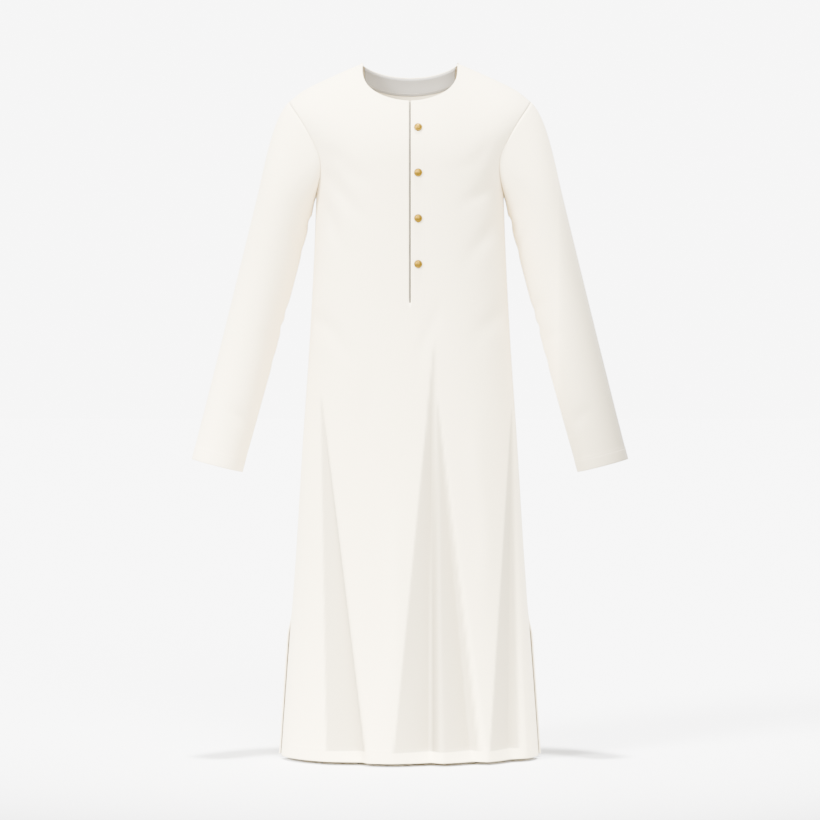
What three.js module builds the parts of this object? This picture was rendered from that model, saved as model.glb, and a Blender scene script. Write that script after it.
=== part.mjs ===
// A long kurta with a round neck, filled out as it hangs from a wearer's shoulders.
// Units are millimetres, +Z is up, the front faces -Y and +X is the wearer's left. The origin lies between
// the two neck points, where the garment rests on the shoulders. Every piece that a maker cuts and sews on is
// a closed wall of cloth in a mesh of its own, a seam gap away from its neighbours.

import * as THREE from "three";

// Cloth
const CLOTH = 1.6; // wall of the panels and sleeves
const TURNED_HEM = 2.6; // wall where an edge is turned to the inside and stitched
const STRIP_CLOTH = 1.3; // wall of the placket strips and the neck facing
const SEAM_GAP = 0.3;
const ARMHOLE_GAP = 0.5;
const FACING_GAP = 0.45;

// Body
const HEM_Z = -1173;
const HEM_TURN = 20;
const NECK_HALF = 81;
const SHOULDER_HALF = 205;
const SHOULDER_Z = -65;
const ARMPIT_HALF = 158.5;
const ARMPIT_Z = -222.5;
const ARMHOLE_SHARE = 0.57; // depth of the armhole, as a share of the torso's depth
const SLIT_TOP_Z = -933; // the side seams stay open below this
const SLIT_SPREAD = 11; // how far each panel's edge stands off the side line at the hem
const SLIT_FLARE = 5; // how much wider the back panel hangs along the slits

// Front opening
const OPENING_HALF = 1.5;
const OPENING_BOTTOM_Z = -410;
const PLACKET_WIDTH = 24;
const PLACKET_BOTTOM_Z = -420;
const BUTTON_RADIUS = 7;
const BUTTON_FIRST_Z = -117.5;
const BUTTON_PITCH = 76;
const BUTTON_COUNT = 4;

// Sleeves
const CUFF_TURN = 20;
const UNDERARM = 38; // from the armpit to the first full ring, along the inner edge
const SLEEVE_LEAN = THREE.MathUtils.degToRad(14.6); // from the vertical
const CUFF_X = 325.6;
const CUFF_Z = -681.7;

// The torso's sections: half of the width at which they close, and their depth before and behind the side
// line. A section is an ellipse at a squareness of 2, and fuller above it.
// The armholes are cut out of its sides.
const TORSO = [
  { z: 0, half: 262, front: 103, back: 100, squareness: 2.3 },
  { z: SHOULDER_Z, half: 235, front: 105, back: 104, squareness: 2.3 },
  { z: -110, half: 204, front: 108, back: 107, squareness: 2.3 },
  { z: -155, half: 176, front: 111, back: 108, squareness: 2.3 },
  { z: -190, half: 162.5, front: 112.5, back: 108, squareness: 2.3 },
  { z: ARMPIT_Z, half: ARMPIT_HALF, front: 113, back: 107, squareness: 2.3 },
  { z: -435, half: 167.5, front: 112, back: 99, squareness: 2.2 },
  { z: -640, half: 181, front: 117, back: 109, squareness: 2.1 },
  { z: -850, half: 194, front: 125, back: 121, squareness: 2 },
  { z: HEM_Z, half: 217.6, front: 140, back: 138, squareness: 1.95 },
];

// The shoulder seam, from the middle of the neck out to the shoulder point.
const SHOULDER_LINE = [
  { x: 0, z: 15 },
  { x: 45, z: 11 },
  { x: NECK_HALF, z: 0 },
  { x: 130, z: -21 },
  { x: 180, z: -45.5 },
  { x: SHOULDER_HALF, z: SHOULDER_Z },
];

// The neckline: its drop in the middle, and how square its sides and its bottom are.
const NECKLINE = {
  front: { drop: 71, sides: 3, bottom: 1.8 },
  back: { drop: 18, sides: 1.2, bottom: 2 },
};

// How the cloth rolls over the shoulder line, at the neck and at the shoulder point.
const ROLL = {
  front: { atNeck: 186, atShoulder: 118, rise: 2, root: 1.3 },
  back: { atNeck: 230, atShoulder: 112, rise: 2, root: 2 },
};

// Folds that open towards the hem: where each starts, and its edges, valley and depth at the hem.
const FOLDS = {
  front: [
    { tipX: -150, tipZ: -551, left: -139, valley: -83, right: -66, depth: 20, crease: 1.15 },
    { tipX: 41, tipZ: -461, left: -29, valley: 38, right: 54, depth: 30, crease: 1.12 },
    { tipX: 44, tipZ: -557, left: 40, valley: 112, right: 129, depth: 27, crease: 1.15 },
    { tipX: 171, tipZ: -571, left: 131, valley: 178, right: 196, depth: 17, crease: 1.15 },
  ],
  back: [
    { tipX: -120, tipZ: -540, left: -172, valley: -138, right: -88, depth: 14, crease: 1.7 },
    { tipX: -28, tipZ: -455, left: -70, valley: -22, right: 38, depth: 24, crease: 1.35 },
    { tipX: 96, tipZ: -590, left: 72, valley: 112, right: 166, depth: 15, crease: 1.8 },
  ],
};
const ROUND_CREASE = 1.5; // from here on a fold's valley is rounded
const HEM_HOLDS = { front: 0.6, back: 1 }; // share of their depth that the stitched hem leaves the folds

// The sleeve below the underarm: share of its length, forward swing, and half of its width and depth.
const SLEEVE = [
  { share: 0, y: 1, half: 48.2, depth: 58 },
  { share: 0.3, y: 5, half: 47.2, depth: 54 },
  { share: 0.55, y: 0, half: 46, depth: 51 },
  { share: 0.8, y: -16, half: 44.5, depth: 46 },
  { share: 1, y: -34, half: 43.2, depth: 42 },
];

const YOKE_ROWS = 10; // rows from the shoulder line to the armpit
const FACING_ROWS = [0, 1, 2, 2.4]; // rows of the back panel that the neck facing covers
const LOWER_ROWS = [-290, -350, OPENING_BOTTOM_Z, -500, -590, -680, -770, -855, SLIT_TOP_Z];
const SKIRT_ROWS = [-1010, -1085, HEM_Z + HEM_TURN, HEM_Z];
const FRONT_SHOULDER_COLUMNS = 22;
const BACK_SHOULDER_COLUMNS = 10;
const NECK_DROPS = [65, 59, 51, 42, 32, 21, 10, 0]; // down the front neckline
const NECK_TURNS = [0, 15, 30, 45, 60, 75, 90]; // degrees round the back neckline
const CAP_ROWS = 8;
const TUBE_ROWS = 9;

const { clamp, degToRad, lerp, smoothstep } = THREE.MathUtils;

// A smooth curve through a table's rows, as a function of its first column.
function curveOf(rows, from, to) {
  const sorted = [...rows].sort((a, b) => a[from] - b[from]);
  const slope = (i, j) => (sorted[j][to] - sorted[i][to]) / (sorted[j][from] - sorted[i][from]);
  const last = sorted.length - 1;
  const tangents = sorted.map((_, i) => slope(Math.max(0, i - 1), Math.min(last, i + 1)));
  return (at) => {
    const place = clamp(at, sorted[0][from], sorted[last][from]);
    const i = clamp(sorted.findIndex((row) => row[from] >= place) - 1, 0, last - 1);
    const span = sorted[i + 1][from] - sorted[i][from];
    const t = (place - sorted[i][from]) / span;
    const [t2, t3] = [t * t, t * t * t];
    return (
      (2 * t3 - 3 * t2 + 1) * sorted[i][to] +
      (t3 - 2 * t2 + t) * span * tangents[i] +
      (3 * t2 - 2 * t3) * sorted[i + 1][to] +
      (t3 - t2) * span * tangents[i + 1]
    );
  };
}

const torsoHalf = curveOf(TORSO, "z", "half");
const torsoDepth = { front: curveOf(TORSO, "z", "front"), back: curveOf(TORSO, "z", "back") };
const squareness = curveOf(TORSO, "z", "squareness");
const shoulderLine = curveOf(SHOULDER_LINE, "x", "z");
const outward = (side) => (side === "front" ? -1 : 1);

// How far the panel's edge stands before or behind the side line, as a share of the torso's depth.
function edgeShare(side, z) {
  if (z <= SLIT_TOP_Z) {
    const open = (SLIT_TOP_Z - z) / (SLIT_TOP_Z - HEM_Z);
    return (SLIT_SPREAD * open ** 0.8) / torsoDepth[side](z);
  }
  const low = clamp((2 * (z - ARMPIT_Z)) / (SHOULDER_Z - ARMPIT_Z), 0, 1);
  return ARMHOLE_SHARE * Math.sqrt(1 - (1 - low) ** 2);
}

// A section at a height: how far across it is at a share of its depth, and the other way round.
const section = (z, share) => (1 - share ** squareness(z)) ** (1 / squareness(z));

// Half of the width at which a section closes. Along the slits the back panel hangs wider than the front.
function closingHalf(side, z) {
  const flare = side === "back" ? SLIT_FLARE * smoothstep(SLIT_TOP_Z - z, 0, 40) : 0;
  return torsoHalf(z) + flare;
}

// Half of the width of a body panel, out to the armhole, side seam or slit.
const panelHalf = (side, z) => closingHalf(side, z) * section(z, edgeShare(side, z));

// Share of the full depth that the cloth has reached, a drop below the shoulder line.
function rollShare(side, x, drop) {
  const roll = ROLL[side];
  const towardsArm = smoothstep(Math.abs(x), NECK_HALF, SHOULDER_HALF);
  const reach = lerp(roll.atNeck, roll.atShoulder, towardsArm);
  const share = clamp(drop / reach, 0, 1);
  return (1 - (1 - share) ** roll.rise) ** (1 / roll.root);
}

// Depth of the body's surface at a place across and a height, before its folds.
function bodyDepth(side, x, z) {
  const full = torsoDepth[side](z) * section(z, Math.min(1, Math.abs(x) / closingHalf(side, z)));
  return full * rollShare(side, x, shoulderLine(Math.abs(x)) - z);
}

// How deep the folds are at a place across and a height.
function foldDepth(side, x, z) {
  const held = lerp(HEM_HOLDS[side], 1, clamp((z - HEM_Z) / HEM_TURN, 0, 1));
  return FOLDS[side].reduce((sum, fold) => {
    const open = (fold.tipZ - z) / (fold.tipZ - HEM_Z);
    if (open <= 0) return sum;
    const valley = lerp(fold.tipX, fold.valley, open);
    const edge = lerp(fold.tipX, x < valley ? fold.left : fold.right, open);
    const share = clamp((x - edge) / (valley - edge), 0, 1);
    const slope = fold.crease < ROUND_CREASE ? share : Math.sin((share * Math.PI) / 2);
    return sum + held * fold.depth * open * slope ** fold.crease;
  }, 0);
}

// A point of the body's surface. The folds push it inwards, square to the body's section.
function bodyPoint(side, x, z) {
  const step = 0.5;
  const half = panelHalf(side, z);
  const depth = bodyDepth(side, x, z);
  const fold = foldDepth(side, x, z);
  const inner = Math.min(Math.abs(x), half - step);
  const slope = (bodyDepth(side, inner + step, z) - bodyDepth(side, inner - step, z)) / (2 * step);
  const normal = new THREE.Vector2(-slope * Math.sign(x), 1).normalize();
  return new THREE.Vector3(
    x - fold * normal.x,
    outward(side) * Math.max(depth - fold * normal.y, SEAM_GAP / 2),
    z,
  );
}

// Outward normal of the body's surface at a place across and a height.
function bodyNormal(side, x, z) {
  const step = 1;
  const across = bodyPoint(side, x + step, z).sub(bodyPoint(side, x - step, z));
  const up = bodyPoint(side, x, z + step).sub(bodyPoint(side, x, z - step));
  return across.cross(up).multiplyScalar(-outward(side)).normalize();
}

// Where the panel's top edge lies: on the neckline, or on the shoulder seam.
function topEdge(side, x) {
  const across = Math.abs(x) / NECK_HALF;
  const { drop, sides, bottom } = NECKLINE[side];
  return across < 1 ? -drop * (1 - across ** bottom) ** (1 / sides) : shoulderLine(Math.abs(x));
}

// Columns of half a panel, as distances across at the top edge.
function topColumns(neckColumns, shoulderColumns) {
  const shoulder = Array.from({ length: shoulderColumns }, (_, i) =>
    lerp(NECK_HALF, SHOULDER_HALF, (i + 1) / shoulderColumns),
  );
  return [...neckColumns, ...shoulder];
}

// The front's columns are spaced by how far the neckline has dropped, the back's by the turn round the neck.
const atNeckDrop = (drop) =>
  NECK_HALF * (1 - (drop / NECKLINE.front.drop) ** NECKLINE.front.sides) ** (1 / NECKLINE.front.bottom);
const atNeckTurn = (degrees) => NECK_HALF * Math.sin(degToRad(degrees));
const PLACKET_COLUMNS = [OPENING_HALF, OPENING_HALF + PLACKET_WIDTH / 2, OPENING_HALF + PLACKET_WIDTH];
const COLUMNS = {
  front: topColumns([...PLACKET_COLUMNS, ...NECK_DROPS.map(atNeckDrop)], FRONT_SHOULDER_COLUMNS),
  back: topColumns(NECK_TURNS.map(atNeckTurn), BACK_SHOULDER_COLUMNS),
};

// Share of the panel's half width at which a column lies below the armpit, closer together in the middle.
function evenShare(column, count) {
  const t = column / (count - 1);
  return Math.sin(degToRad(90 * (0.8 * t + 0.2 * t ** 3))) ** 0.87;
}

// Distance across of a column at a height share (1 at the top edge) or below the armpit (0).
function columnX(side, column, z, heightShare) {
  const columns = COLUMNS[side];
  if (side === "front" && column === 0) return OPENING_HALF;
  const onPlacket = side === "front" && column < PLACKET_COLUMNS.length;
  if (onPlacket && z >= OPENING_BOTTOM_Z) return columns[column];
  const half = panelHalf(side, heightShare > 0 ? lerp(ARMPIT_Z, SHOULDER_Z, heightShare) : z);
  const topShare = columns[column] / panelHalf(side, SHOULDER_Z);
  return half * lerp(evenShare(column, columns.length), topShare, heightShare);
}

// The places of a body panel, row by row from the top edge to the hem, and across from -X to +X.
function panelPlaces(side) {
  const columns = COLUMNS[side].map((_, i) => i);
  const skipMiddle = side === "back" ? 1 : 0;
  const across = [
    ...[...columns].reverse().map((column) => ({ column, sign: -1 })),
    ...columns.slice(skipMiddle).map((column) => ({ column, sign: 1 })),
  ];
  const yoke = Array.from({ length: YOKE_ROWS + 1 }, (_, row) => {
    const share = (1 + Math.cos((Math.PI * row) / YOKE_ROWS)) / 2;
    return across.map(({ column, sign }) => {
      const z = lerp(ARMPIT_Z, topEdge(side, COLUMNS[side][column]), share);
      return { x: sign * columnX(side, column, z, share), z };
    });
  });
  const lower = [...LOWER_ROWS, ...SKIRT_ROWS].map((z) =>
    across.map(({ column, sign }) => ({ x: sign * columnX(side, column, z, 0), z })),
  );
  return [...yoke, ...lower];
}

// Outward normals of a tube's rings of points, from its top ring to its bottom one.
function tubeNormals(rings) {
  const count = rings[0].length;
  return rings.map((ring, r) => {
    const [above, below] = [rings[Math.max(0, r - 1)], rings[Math.min(rings.length - 1, r + 1)]];
    return ring.map((_, c) => {
      const down = below[c].clone().sub(above[c]);
      const along = ring[(c + 1) % count].clone().sub(ring.at(c - 1));
      return down.cross(along).normalize();
    });
  });
}

// A closed wall of cloth round a grid of points: outer and inner faces, joined along every free edge.
// outer and inner give how far each face lies from the grid, and open says which cells are left out.
function clothWall(grid, normals, { outer, inner, closed = false, flip = false, open = () => false }) {
  const [rows, columns] = [grid.length, grid[0].length];
  const positions = [];
  for (const [reach, sign] of [[outer, 1], [inner, -1]])
    for (let r = 0; r < rows; r++)
      for (let c = 0; c < columns; c++)
        positions.push(...grid[r][c].clone().addScaledVector(normals[r][c], sign * reach(r, c)).toArray());
  const cellColumns = closed ? columns : columns - 1;
  const present = (r, c) => {
    if (r < 0 || r >= rows - 1) return false;
    if (!closed && (c < 0 || c >= cellColumns)) return false;
    return !open(r, closed ? (c + columns) % columns : c);
  };
  const vertex = (r, c, layer) => layer * rows * columns + r * columns + (c % columns);
  const index = [];
  const quad = (a, b, c, d) => (flip ? index.push(a, c, b, a, d, c) : index.push(a, b, c, a, c, d));
  const rim = (a, b) => quad(vertex(...a, 0), vertex(...a, 1), vertex(...b, 1), vertex(...b, 0));
  for (let r = 0; r < rows - 1; r++)
    for (let c = 0; c < cellColumns; c++) {
      if (!present(r, c)) continue;
      quad(vertex(r, c, 0), vertex(r + 1, c, 0), vertex(r + 1, c + 1, 0), vertex(r, c + 1, 0));
      quad(vertex(r, c, 1), vertex(r, c + 1, 1), vertex(r + 1, c + 1, 1), vertex(r + 1, c, 1));
      if (!present(r - 1, c)) rim([r, c + 1], [r, c]);
      if (!present(r + 1, c)) rim([r + 1, c], [r + 1, c + 1]);
      if (!present(r, c - 1)) rim([r, c], [r + 1, c]);
      if (!present(r, c + 1)) rim([r + 1, c + 1], [r, c + 1]);
    }
  const geometry = new THREE.BufferGeometry();
  geometry.setAttribute("position", new THREE.Float32BufferAttribute(positions, 3));
  geometry.setIndex(index);
  geometry.computeVertexNormals();
  return geometry;
}

// The body panels: their grids, with the normals at the shoulder and side seams shared by front and back.
function bodyPanel(side) {
  const places = panelPlaces(side);
  const grid = places.map((row) => row.map(({ x, z }) => bodyPoint(side, x, z)));
  const normals = places.map((row) => row.map(({ x, z }) => bodyNormal(side, x, z)));
  const last = grid[0].length - 1;
  grid[0].forEach(({ x }, c) => {
    const across = Math.abs(x);
    if (across < NECK_HALF - 0.01) return;
    const slope = (shoulderLine(across - 1) - shoulderLine(across + 1)) / 2;
    normals[0][c].set(Math.sign(x) * slope, 0, 1).normalize();
  });
  grid.forEach((row, r) => {
    if (r < YOKE_ROWS || row[0].z < SLIT_TOP_Z - 1) return;
    normals[r][0].set(-1, 0, 0);
    normals[r][last].set(1, 0, 0);
  });
  return { side, grid, normals, flip: side === "back" };
}

const panels = { front: bodyPanel("front"), back: bodyPanel("back") };
const OPENING_ROWS = YOKE_ROWS + LOWER_ROWS.indexOf(OPENING_BOTTOM_Z) + 1;

function panelGeometry({ side, grid, normals, flip }) {
  const middle = COLUMNS.front.length - 1;
  const edgeWall = (r) => (grid[r][0].z <= HEM_Z + HEM_TURN ? TURNED_HEM - CLOTH / 2 : CLOTH / 2);
  return clothWall(grid, normals, {
    flip,
    outer: () => CLOTH / 2,
    inner: edgeWall,
    open: (r, c) => side === "front" && c === middle && r < OPENING_ROWS,
  });
}

// The armhole on the wearer's left, as a ring: from the shoulder point down the back to the armpit, and up
// the front. away points out of the panel along its surface, square to the seam.
function armholeRing() {
  const row = (i) => (i <= YOKE_ROWS ? i : 2 * YOKE_ROWS - i);
  const edges = Array.from({ length: 2 * YOKE_ROWS }, (_, i) => {
    const { grid, normals } = panels[i <= YOKE_ROWS ? "back" : "front"];
    const point = grid[row(i)].at(-1).clone();
    if (row(i) % YOKE_ROWS === 0) point.y = 0;
    return { point, normal: normals[row(i)].at(-1) };
  });
  return edges.map(({ point, normal }, i) => {
    const before = edges.at(i - 1).point;
    const after = edges[(i + 1) % edges.length].point;
    const away = new THREE.Vector3().crossVectors(after.clone().sub(before), normal).normalize();
    return { point, normal, away };
  });
}

// The left sleeve's rings, from the armhole over the sleeve cap and down the arm to the cuff.
function sleeveGrid() {
  const lean = new THREE.Vector2(Math.sin(SLEEVE_LEAN), -Math.cos(SLEEVE_LEAN));
  const acrossArm = new THREE.Vector3(-lean.y, 0, lean.x);
  const columnOf = (key) => curveOf(SLEEVE, "share", key);
  const [swing, half, depth] = ["y", "half", "depth"].map(columnOf);
  const inner = new THREE.Vector2(ARMPIT_HALF, ARMPIT_Z).addScaledVector(lean, UNDERARM);
  const start = inner.clone().addScaledVector(new THREE.Vector2(acrossArm.x, acrossArm.z), half(0));
  const tubePoint = (share, angle) =>
    new THREE.Vector3(lerp(start.x, CUFF_X, share), swing(share), lerp(start.y, CUFF_Z, share))
      .addScaledVector(acrossArm, half(share) * Math.cos(angle))
      .add(new THREE.Vector3(0, depth(share) * Math.sin(angle), 0));
  const angles = Array.from({ length: 2 * YOKE_ROWS }, (_, i) => (Math.PI * i) / YOKE_ROWS);
  const cap = armholeRing().map(({ point, normal, away: outOfPanel }, i) => {
    const angle = angles[i];
    const low = (1 - Math.cos(angle)) / 2; // 0 at the shoulder point, 1 at the armpit
    const lift = (CLOTH + SEAM_GAP) * smoothstep(low, 0.5, 0.9); // under the arm it lies over the body
    const from = point.clone().addScaledVector(outOfPanel, ARMHOLE_GAP).addScaledVector(normal, lift);
    const to = tubePoint(0, angle);
    const chord = from.distanceTo(to);
    const leave = lerp(Math.PI / 4, SLEEVE_LEAN, low);
    const away = new THREE.Vector3(Math.sin(leave), 0, -Math.cos(leave));
    const arrive = tubePoint(0.05, angle).sub(to).normalize();
    return new THREE.CubicBezierCurve3(
      from,
      from.clone().addScaledVector(away, chord * lerp(0.23, 0.33, low)),
      to.clone().addScaledVector(arrive, -chord * lerp(0.4, 0.33, low)),
      to,
    );
  });
  const capShares = Array.from({ length: CAP_ROWS }, (_, r) => r / CAP_ROWS);
  const capRows = capShares.map((share) => cap.map((curve) => curve.getPoint(share)));
  const length = Math.hypot(CUFF_X - start.x, CUFF_Z - start.y);
  const turn = 1 - CUFF_TURN / length;
  const tubeShares = Array.from({ length: TUBE_ROWS }, (_, r) => (turn * r) / (TUBE_ROWS - 1));
  const tubeRows = [...tubeShares, 1].map((share) => angles.map((angle) => tubePoint(share, angle)));
  return [...capRows, ...tubeRows];
}

function sleeveGeometry() {
  const grid = sleeveGrid();
  const normals = tubeNormals(grid);
  const lastRow = grid.length - 1;
  armholeRing().forEach(({ normal }, i) => normals[0][i].copy(normal));
  return clothWall(grid, normals, {
    closed: true,
    outer: () => CLOTH / 2,
    inner: (r) => (r >= lastRow - 1 ? TURNED_HEM - CLOTH / 2 : CLOTH / 2),
  });
}

// A point of a panel and its normal, at a row that may lie between two of the panel's own.
function onPanel({ grid, normals }, row, column) {
  const r = Math.min(Math.floor(row), grid.length - 2);
  const between = (table) => table[r][column].clone().lerp(table[r + 1][column], row - r);
  return { point: between(grid), normal: between(normals).normalize() };
}

// A strip that lies inside a panel, a gap away from it: the panel's own points at some rows and columns,
// moved inwards. layers says how many strips lie between a column and the panel.
function stripGrid(panel, rows, columns, gap = SEAM_GAP, layers = () => 0) {
  const cells = rows.map((row) => columns.map((column) => ({ column, ...onPanel(panel, row, column) })));
  const first = CLOTH / 2 + gap + STRIP_CLOTH / 2;
  const depth = (column) => first + layers(column) * (STRIP_CLOTH + SEAM_GAP);
  return {
    grid: cells.map((line) =>
      line.map(({ column, point, normal }) => point.clone().addScaledVector(normal, -depth(column))),
    ),
    normals: cells.map((line) => line.map(({ normal }) => normal)),
  };
}

function stripGeometry({ grid, normals }, flip = false) {
  const half = () => STRIP_CLOTH / 2;
  return clothWall(grid, normals, { outer: half, inner: half, flip });
}

// The row of a panel's column at a height, as a number that may lie between two rows.
function rowAt({ grid }, column, z) {
  const r = grid.findIndex((row) => row[column].z <= z) - 1;
  return r + (grid[r][column].z - z) / (grid[r][column].z - grid[r + 1][column].z);
}

const range = (from, to) => Array.from({ length: to - from + 1 }, (_, i) => from + i);
const MIDDLE = COLUMNS.front.length; // the front's first column on the +X side

const placketRows = [...range(0, OPENING_ROWS), rowAt(panels.front, MIDDLE, PLACKET_BOTTOM_Z)];
const topPlacket = stripGrid(panels.front, placketRows, range(MIDDLE, MIDDLE + 2));
const underPlacket = stripGrid(
  panels.front,
  placketRows,
  range(MIDDLE - 2, MIDDLE + 2),
  SEAM_GAP,
  (column) => (column < MIDDLE ? 0 : 1),
);

// The facing inside the back neck, from one shoulder seam to the other.
function facingGrid() {
  const panel = panels.back;
  const neck = range(0, panel.grid[0].length - 1).filter((c) => Math.abs(panel.grid[0][c].x) < NECK_HALF - 1);
  return stripGrid(panel, FACING_ROWS, neck, FACING_GAP);
}

// A brass button: a low dome with a rolled rim, flat underneath, facing along its own +Y.
function buttonGeometry() {
  const profile = [
    [0, 0],
    [BUTTON_RADIUS - 0.9, 0],
    [BUTTON_RADIUS - 0.1, 0.6],
    [BUTTON_RADIUS, 1.4],
    [BUTTON_RADIUS - 0.5, 2.2],
    [BUTTON_RADIUS - 1.4, 2.3],
    [BUTTON_RADIUS - 2.2, 2.6],
    [BUTTON_RADIUS - 4.4, 3.5],
    [0, 3.9],
  ];
  return new THREE.LatheGeometry(profile.map(([radius, height]) => new THREE.Vector2(radius, height)), 18);
}

const cotton = new THREE.MeshStandardMaterial({ color: 0xf7f4ed, roughness: 0.9, metalness: 0 });
const facingCotton = new THREE.MeshStandardMaterial({ color: 0xd8d6cf, roughness: 0.92, metalness: 0 });
const brass = new THREE.MeshStandardMaterial({ color: 0xc2a244, roughness: 0.35, metalness: 0.9 });

const kurta = new THREE.Group();

function addPiece(name, geometry, material) {
  const mesh = new THREE.Mesh(geometry, material);
  mesh.name = name;
  kurta.add(mesh);
  return mesh;
}

addPiece("front_panel", panelGeometry(panels.front), cotton);
addPiece("back_panel", panelGeometry(panels.back), cotton);
addPiece("left_sleeve", sleeveGeometry(), cotton);
addPiece("right_sleeve", sleeveGeometry(), cotton).scale.x = -1;
addPiece("top_placket", stripGeometry(topPlacket), cotton);
addPiece("under_placket", stripGeometry(underPlacket), facingCotton);
addPiece("neck_facing", stripGeometry(facingGrid(), true), facingCotton);

for (let i = 0; i < BUTTON_COUNT; i++) {
  const column = MIDDLE + 1;
  const row = rowAt(panels.front, column, BUTTON_FIRST_Z - i * BUTTON_PITCH);
  const { point, normal } = onPanel(panels.front, row, column);
  const button = addPiece(`button_${i + 1}`, buttonGeometry(), brass);
  button.position.copy(point).addScaledVector(normal, CLOTH / 2 + SEAM_GAP);
  button.quaternion.setFromUnitVectors(new THREE.Vector3(0, 1, 0), normal);
}

export default kurta;
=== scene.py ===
import math

import bmesh
import bpy
from mathutils import Matrix, Vector


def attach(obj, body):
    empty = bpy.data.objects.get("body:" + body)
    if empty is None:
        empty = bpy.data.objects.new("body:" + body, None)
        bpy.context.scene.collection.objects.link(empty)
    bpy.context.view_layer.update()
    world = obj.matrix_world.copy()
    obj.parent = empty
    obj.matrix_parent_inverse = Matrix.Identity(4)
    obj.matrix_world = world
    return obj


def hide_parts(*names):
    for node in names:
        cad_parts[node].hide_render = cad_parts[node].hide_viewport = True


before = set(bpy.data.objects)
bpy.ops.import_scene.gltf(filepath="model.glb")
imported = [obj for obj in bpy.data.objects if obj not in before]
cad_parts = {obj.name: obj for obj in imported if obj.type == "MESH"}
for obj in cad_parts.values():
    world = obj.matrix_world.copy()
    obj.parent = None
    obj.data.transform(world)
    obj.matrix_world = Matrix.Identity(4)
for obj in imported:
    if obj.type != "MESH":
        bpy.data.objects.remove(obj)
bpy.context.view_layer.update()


# ------------------------------------------------------------------- front and back panels
# The front and the back are cut from plain off-white cotton, 1.6 mm thick as worn, with the hem and the slit
# edges turned in. They meet at the shoulders and down the sides to the slits, and the armholes are cut out
# between. The front has a round neckline and an opening down the middle, the back a shallow neckline.
CLOTH = 0.0016
TURNED_EDGE = 0.0026
SEAM_GAP = 0.0003
HEM_Z = -1.173
HEM_TURN, HEM_STITCH_UP = 0.020, 0.018
NECK_HALF = 0.081
SHOULDER_HALF = 0.205
SHOULDER_Z = -0.065
ARMPIT_HALF = 0.1585
ARMPIT_Z = -0.2225
ARMHOLE_SHARE = 0.57
SLIT_TOP_Z = -0.933
SLIT_SPREAD, SLIT_CURVE = 0.011, 0.8
SLIT_FLARE, SLIT_FLARE_RUN = 0.005, 0.040
OPENING_HALF = 0.0015
OPENING_BOTTOM_Z = -0.410
PLACKET_WIDTH = 0.024
TORSO = [
    dict(z=0, half=0.262, front=0.103, back=0.100, squareness=2.3),
    dict(z=SHOULDER_Z, half=0.235, front=0.105, back=0.104, squareness=2.3),
    dict(z=-0.110, half=0.204, front=0.108, back=0.107, squareness=2.3),
    dict(z=-0.155, half=0.176, front=0.111, back=0.108, squareness=2.3),
    dict(z=-0.190, half=0.1625, front=0.1125, back=0.108, squareness=2.3),
    dict(z=ARMPIT_Z, half=ARMPIT_HALF, front=0.113, back=0.107, squareness=2.3),
    dict(z=-0.435, half=0.1675, front=0.112, back=0.099, squareness=2.2),
    dict(z=-0.640, half=0.181, front=0.117, back=0.109, squareness=2.1),
    dict(z=-0.850, half=0.194, front=0.125, back=0.121, squareness=2.0),
    dict(z=HEM_Z, half=0.2176, front=0.140, back=0.138, squareness=1.95),
]
SHOULDER_LINE = [
    dict(x=0, z=0.015),
    dict(x=0.045, z=0.011),
    dict(x=NECK_HALF, z=0),
    dict(x=0.130, z=-0.021),
    dict(x=0.180, z=-0.0455),
    dict(x=SHOULDER_HALF, z=SHOULDER_Z),
]
NECKLINE = dict(
    front=dict(drop=0.071, sides=3, bottom=1.8),
    back=dict(drop=0.018, sides=1.2, bottom=2),
)
ROLL = dict(
    front=dict(at_neck=0.186, at_shoulder=0.118, rise=2, root=1.3),
    back=dict(at_neck=0.230, at_shoulder=0.112, rise=2, root=2),
)
# Folds that open towards the hem: where each starts, its edges, valley and depth at the hem, and the painted shade
# on its short flank. The stitched hem holds them flatter, and a valley is rounded from a crease of 1.5 on.
HEM_HOLDS = dict(front=0.6, back=0.85)
ROUND_CREASE = 1.5
FOLDS = dict(
    front=[
        dict(tip_x=-0.150, tip_z=-0.551, left=-0.139, valley=-0.083, right=-0.068, depth=0.026, crease=1.1,
             shade=0.70),
        dict(tip_x=0.041, tip_z=-0.461, left=-0.029, valley=0.038, right=0.054, depth=0.030, crease=1.12,
             shade=0.92),
        dict(tip_x=0.044, tip_z=-0.557, left=0.040, valley=0.112, right=0.129, depth=0.027, crease=1.15,
             shade=0.58),
        dict(tip_x=0.171, tip_z=-0.571, left=0.131, valley=0.178, right=0.196, depth=0.020, crease=1.1,
             shade=0.54),
    ],
    back=[
        dict(tip_x=-0.120, tip_z=-0.540, left=-0.172, valley=-0.138, right=-0.088, depth=0.016, crease=1.7,
             shade=0.54),
        dict(tip_x=-0.028, tip_z=-0.455, left=-0.070, valley=-0.022, right=0.038, depth=0.027, crease=1.35,
             shade=0.54),
        dict(tip_x=0.096, tip_z=-0.590, left=0.072, valley=0.112, right=0.166, depth=0.018, crease=1.8,
             shade=0.54),
    ],
)
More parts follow.
